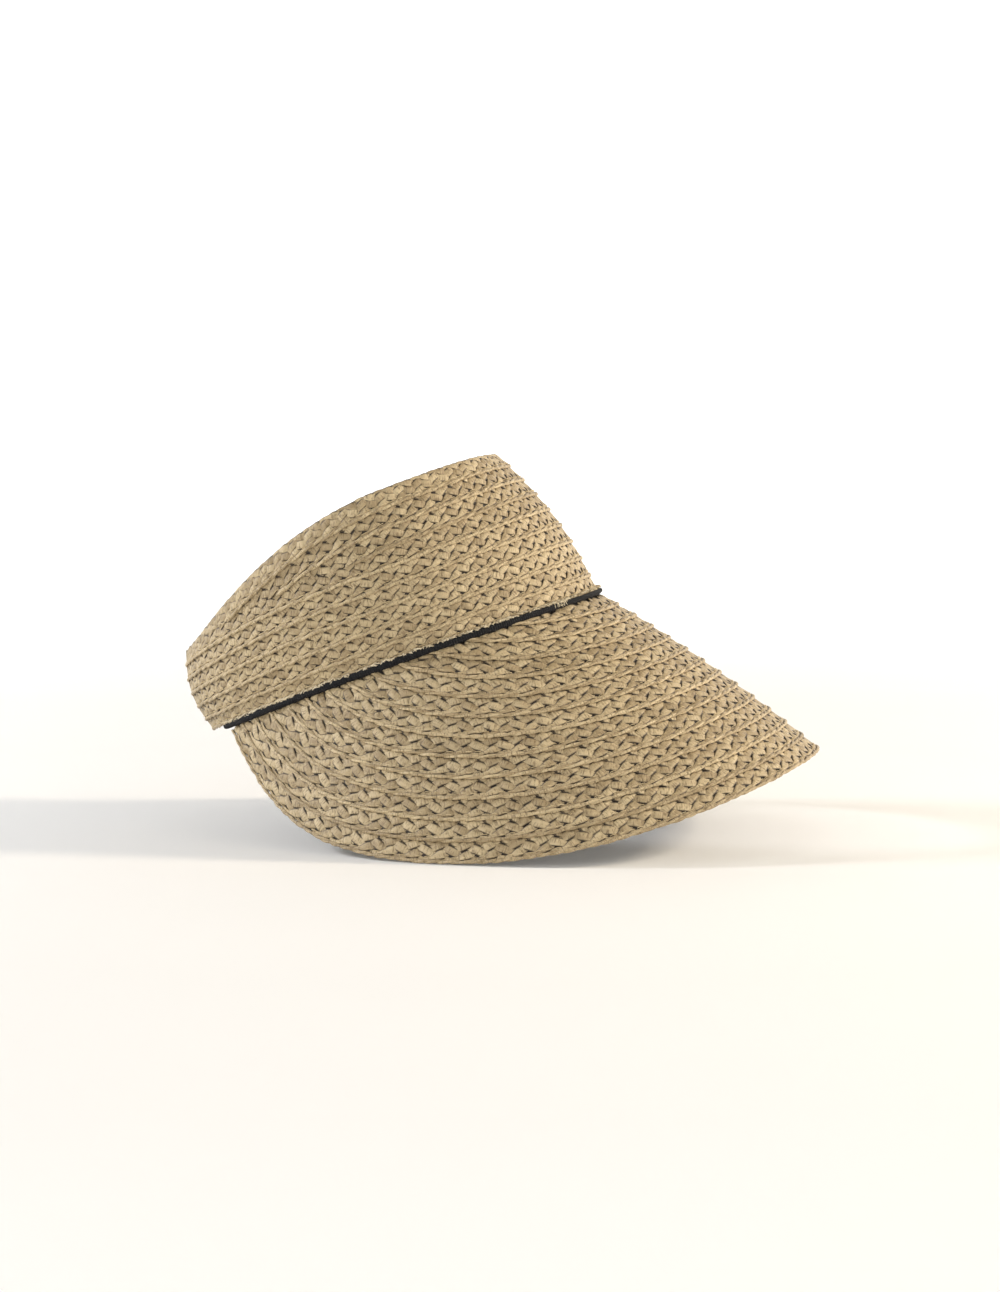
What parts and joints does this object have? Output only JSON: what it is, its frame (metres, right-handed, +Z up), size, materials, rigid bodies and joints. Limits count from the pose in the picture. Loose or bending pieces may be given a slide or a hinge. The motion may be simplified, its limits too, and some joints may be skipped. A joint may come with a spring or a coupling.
{
  "type": "sun visor",
  "caption": "Open-topped sun visor of sewn plaited straw braid: tall sloping crown, long drooping brim, black seam tape, sweatband and hook-and-loop strap at the back.",
  "frame": {"origin": "centre of the bounding box, on the table it rests on", "axes": "+Z up, -Y to the front of the brim, +X to the wearer's left; the visor rests nose up on the two sides of its brim, as it balances by itself, so the crown's own axis leans back by 20.4 degrees"},
  "size_m": [0.2398, 0.3116, 0.1809],
  "materials": {
    "straw_braid": "flat plaited paper straw, natural tan, slight sheen on the strands",
    "black_grosgrain": "black ribbed grosgrain tape, matte",
    "natural_grosgrain": "natural tan ribbed grosgrain tape, matte",
    "black_webbing": "black woven strap webbing, matte",
    "sweatband_twill": "black cotton twill, matte",
    "hook_nylon": "black moulded nylon hooks",
    "loop_nylon": "black brushed nylon loops",
    "label_satin": "off-white woven satin, blank"
  },
  "bodies": {
    "visor": {"brim_braid_01": "straw_braid", "brim_braid_02": "straw_braid", "brim_braid_03": "straw_braid", "brim_braid_04": "straw_braid", "brim_braid_05": "straw_braid", "brim_braid_06": "straw_braid", "brim_braid_07": "straw_braid", "brim_braid_08": "straw_braid", "brim_braid_09": "straw_braid", "brim_braid_10": "straw_braid", "brim_braid_11": "straw_braid", "brim_braid_12": "straw_braid", "brim_braid_13": "straw_braid", "crown_braid_01": "straw_braid", "crown_braid_02": "straw_braid", "crown_braid_03": "straw_braid", "crown_braid_04": "straw_braid", "crown_braid_05": "straw_braid", "crown_braid_06": "straw_braid", "crown_braid_07": "straw_braid", "crown_braid_08": "straw_braid", "crown_braid_09": "straw_braid", "seam_binding": "black_grosgrain", "sweatband": "sweatband_twill", "end_binding_right": "natural_grosgrain", "end_binding_left": "natural_grosgrain", "care_label": "label_satin", "strap_root": "black_webbing", "loop_tape": "loop_nylon"},
    "closure_tab": {"strap_tab": "black_webbing", "hook_tape": "hook_nylon"}
  },
  "joints": [
    {"name": "strap_peel", "type": "hinge", "parent": "visor", "child": "closure_tab", "pos_m": [-0.00341, 0.14698, 0.06396], "axis": [0, 0.3486, 0.9373], "range_deg": [0, 110]}
  ]
}
